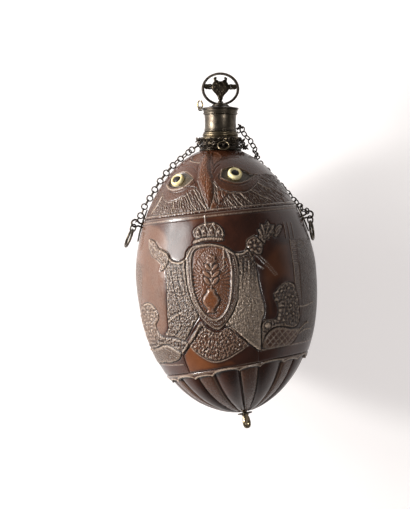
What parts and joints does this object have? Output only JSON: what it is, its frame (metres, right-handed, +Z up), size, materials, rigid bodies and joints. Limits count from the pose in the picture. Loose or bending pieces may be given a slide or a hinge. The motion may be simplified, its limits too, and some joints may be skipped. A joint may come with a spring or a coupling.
{
  "type": "hanging flask",
  "caption": "Carved coconut flask with a turned silver neck, ring-topped stopper, eye mounts, side rings and a link chain wound round the neck.",
  "frame": {"origin": "on the neck's axis at the level of the two side lugs that the flask hangs by", "axes": "+Z up along the neck's axis, -Y towards the carved face with the eyes, +X to the right as seen from the front"},
  "size_m": [0.0938, 0.0879, 0.173],
  "materials": {
    "coconut": "polished, carved dark shell",
    "bone": "polished bone",
    "eye_boss": "dark, polished",
    "silver": "tarnished silver",
    "dark_silver": "dark tarnished silver",
    "gilt_silver": "worn gilding over silver",
    "brass": "polished brass wire",
    "chain": "blackened silver wire",
    "cork": "cork"
  },
  "bodies": {
    "flask": {"coconut_shell": "coconut", "eye_ring_left": "bone", "eye_ring_right": "bone", "eye_pupil_left": "eye_boss", "eye_pupil_right": "eye_boss", "neck_collar": "gilt_silver", "neck_tube": "silver", "neck_lip": "silver", "side_plate_left": "silver", "side_plate_right": "silver", "side_lug_left": "dark_silver", "side_lug_right": "dark_silver", "chain_left": "chain", "chain_wrap_lower": "chain", "chain_wrap_upper": "chain", "chain_loop": "chain", "chain_right": "chain", "chain_ring": "gilt_silver", "foot_washer": "silver", "foot_loop": "gilt_silver"},
    "stopper": {"stopper_lid": "silver", "stopper_plug": "cork", "stopper_foot": "silver", "finial_ring": "dark_silver", "finial_ornament": "gilt_silver", "stopper_ear": "silver"},
    "jump_ring": {"stopper_jump_ring": "brass"},
    "left_link": {"side_link_left": "silver"},
    "left_ring": {"side_ring_left": "silver"},
    "right_link": {"side_link_right": "silver"},
    "right_ring": {"side_ring_right": "silver"}
  },
  "joints": [
    {"name": "stopper_pull", "type": "slide", "parent": "flask", "child": "stopper", "axis": [0, 0, 1], "range_m": [0, 0.015]},
    {"name": "jump_ring_swing", "type": "hinge", "parent": "stopper", "child": "jump_ring", "pos_m": [-0.00985, 0, 0.05497], "axis": [0, 1, 0], "range_deg": [-165, 5]},
    {"name": "left_link_swing", "type": "hinge", "parent": "flask", "child": "left_link", "pos_m": [-0.04154, 0, -0.00082], "axis": [0, 1, 0], "range_deg": [-10, 90]},
    {"name": "left_ring_swing", "type": "hinge", "parent": "left_link", "child": "left_ring", "pos_m": [-0.04251, 0, -0.00321], "axis": [-0.7306, 0.6157, 0.2952], "range_deg": [-30, 40]},
    {"name": "right_link_swing", "type": "hinge", "parent": "flask", "child": "right_link", "pos_m": [0.04321, 0, 0.00368], "axis": [0, -1, 0], "range_deg": [-1, 100]},
    {"name": "right_ring_swing", "type": "hinge", "parent": "right_link", "child": "right_ring", "pos_m": [0.04357, 0, 0.00113], "axis": [0.7803, 0.6157, 0.1097], "range_deg": [-40, 2]}
  ]
}
